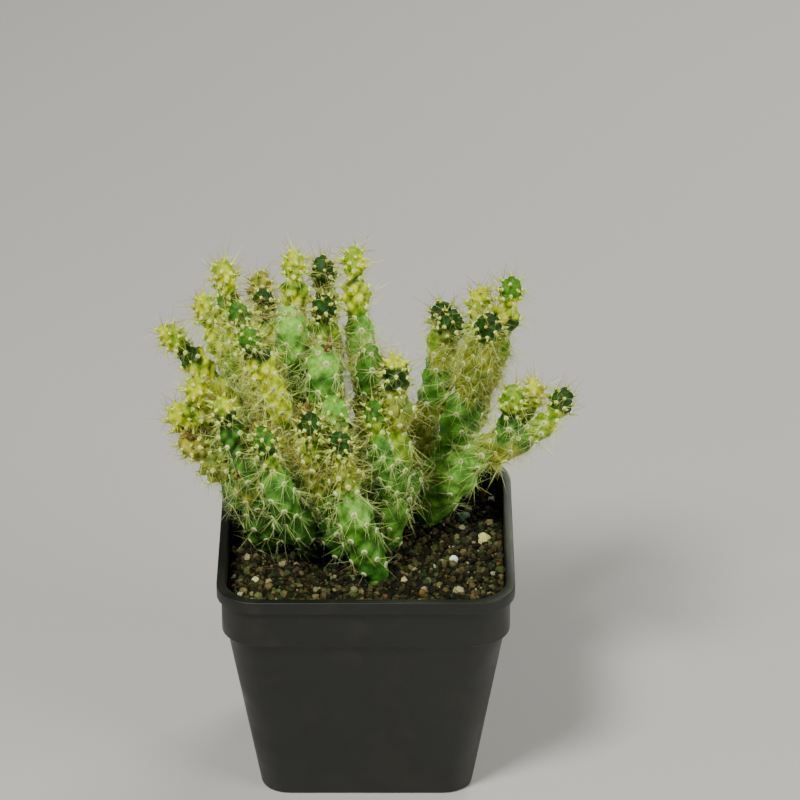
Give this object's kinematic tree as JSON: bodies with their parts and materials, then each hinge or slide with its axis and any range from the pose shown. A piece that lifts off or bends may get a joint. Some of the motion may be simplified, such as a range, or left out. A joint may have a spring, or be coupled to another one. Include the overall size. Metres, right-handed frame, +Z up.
{
  "type": "potted variegated cylindropuntia",
  "caption": "Variegated cane cholla cactus, a crowd of spiny jointed stems in yellow and green, growing in gritty soil in a square black nursery pot; decorative potted plant.",
  "frame": {"origin": "middle of the pot's underside, on the surface that it stands on", "axes": "+Z up through the pot's mouth, +X to the right of the front view, -Y towards the front view's camera"},
  "size_m": [0.1292, 0.092, 0.1648],
  "materials": {
    "pot_plastic": "black injection-moulded polypropylene, slightly glossy, faint moulding grain",
    "soil": "loose gritty mix of dark peat, tan and pale grit and small pebbles",
    "stem_skin": "waxy plant skin, variegated yellow, cream and green",
    "spine": "dry straw-white spines, pale yellow at the newest tips",
    "areole_wool": "short cream wool"
  },
  "bodies": {
    "root": {"pot": "pot_plastic", "soil": "soil", "stem_front": "stem_skin", "stem_front_leaning": "stem_skin", "stem_low_left": "stem_skin", "stem_far_left": "stem_skin", "stem_yellow": "stem_skin", "stem_back_left": "stem_skin", "stem_dark_banded": "stem_skin", "stem_middle": "stem_skin", "stem_back": "stem_skin", "stem_tallest": "stem_skin", "stem_right": "stem_skin", "stem_right_branching": "stem_skin", "stem_right_left": "stem_skin"}
  },
  "joints": []
}
